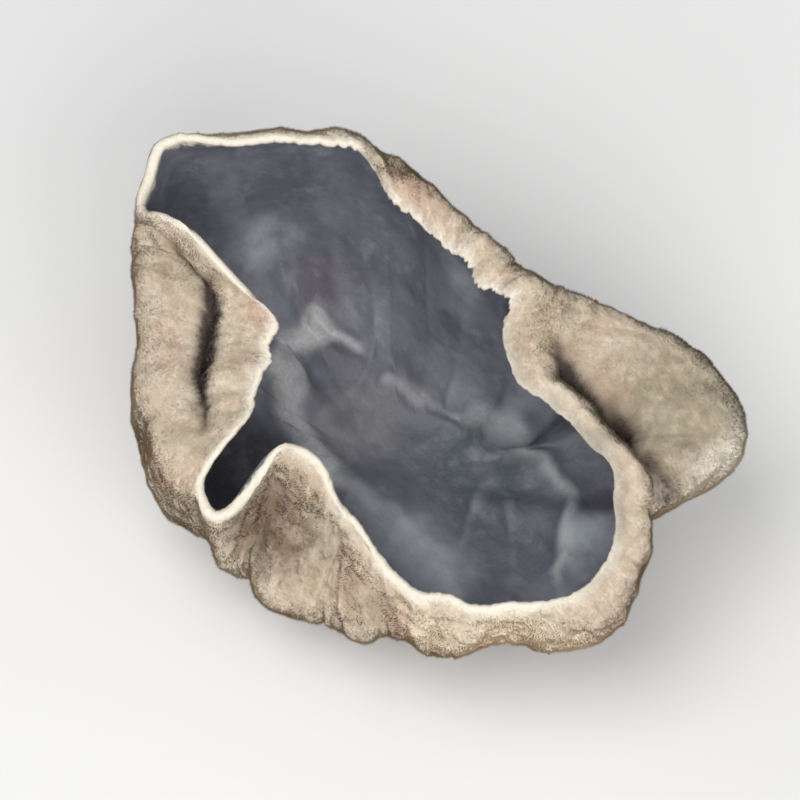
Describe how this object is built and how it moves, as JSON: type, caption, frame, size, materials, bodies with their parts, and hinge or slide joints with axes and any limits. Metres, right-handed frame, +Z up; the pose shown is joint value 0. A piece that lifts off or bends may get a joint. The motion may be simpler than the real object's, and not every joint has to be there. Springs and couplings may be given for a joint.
{
  "type": "dried wood ear mushroom",
  "caption": "Dried wood ear mushroom: a thin leathery cup with a dark inside, a pale rolled margin, a folded side lobe and a flap, cut off flat where it grew.",
  "frame": {"origin": "middle of the flat cut that the ear rests on", "axes": "+X along the ear's long direction towards its low rolled end, +Y towards the far wall and the side lobe, +Z up out of the cup"},
  "size_m": [0.0519, 0.0417, 0.0288],
  "materials": {
    "ear_sheet": "velvety tan outside, smooth slate-grey inside with a faint satin bloom"
  },
  "bodies": {
    "root": {"wood_ear": "ear_sheet"}
  },
  "joints": []
}
